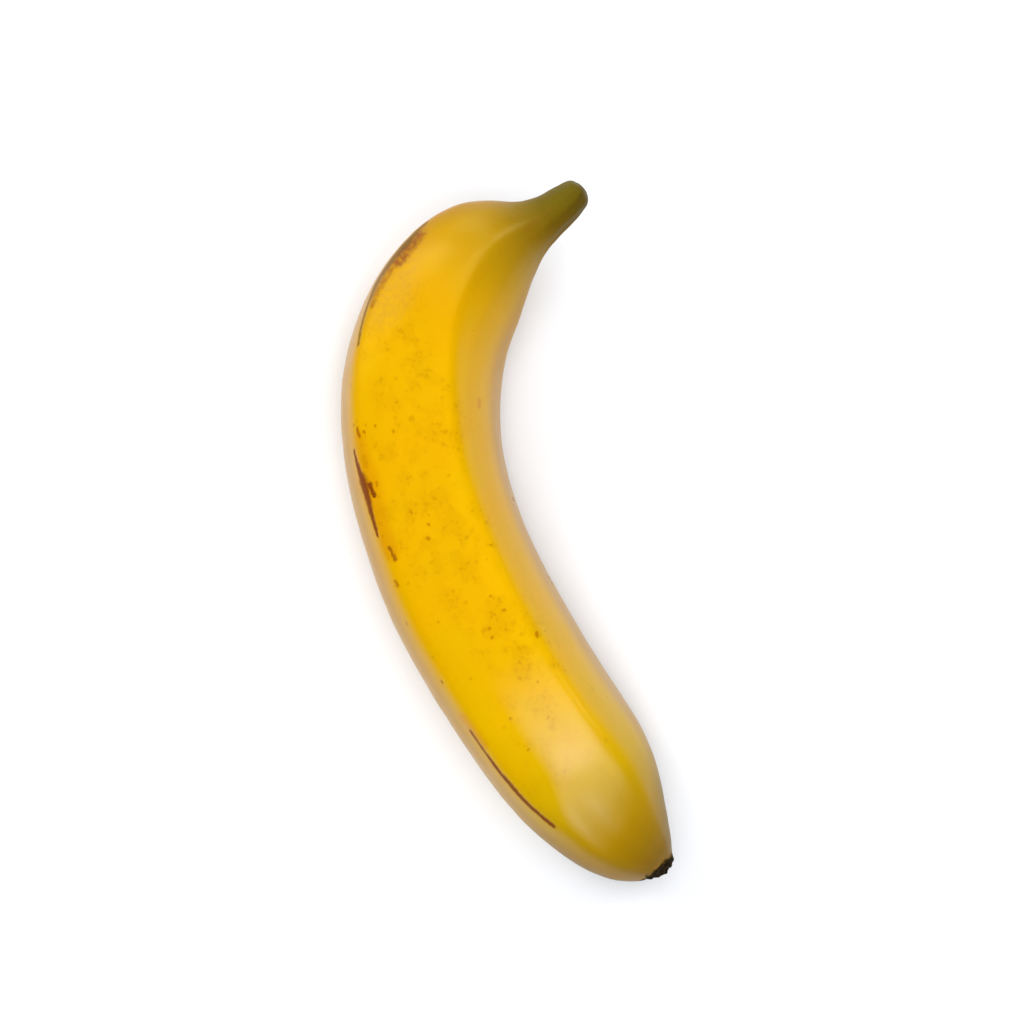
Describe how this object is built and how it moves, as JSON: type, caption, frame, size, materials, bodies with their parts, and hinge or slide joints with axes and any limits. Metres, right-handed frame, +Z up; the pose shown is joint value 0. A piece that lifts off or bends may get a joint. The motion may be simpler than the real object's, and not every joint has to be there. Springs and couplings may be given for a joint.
{
  "type": "banana",
  "caption": "Single curved banana as picked, with a short cut stalk, five soft ridges and a dried blossom end, lying on its side.",
  "frame": {"origin": "on the surface that the fruit lies on, under the middle of its box", "axes": "+X along the chord from the cut stalk to the blossom end, +Y towards the hollow of the curve, +Z up from the surface"},
  "size_m": [0.1687, 0.0666, 0.036],
  "materials": {
    "peel": "satin, waxy peel"
  },
  "bodies": {
    "root": {"banana": "peel"}
  },
  "joints": []
}
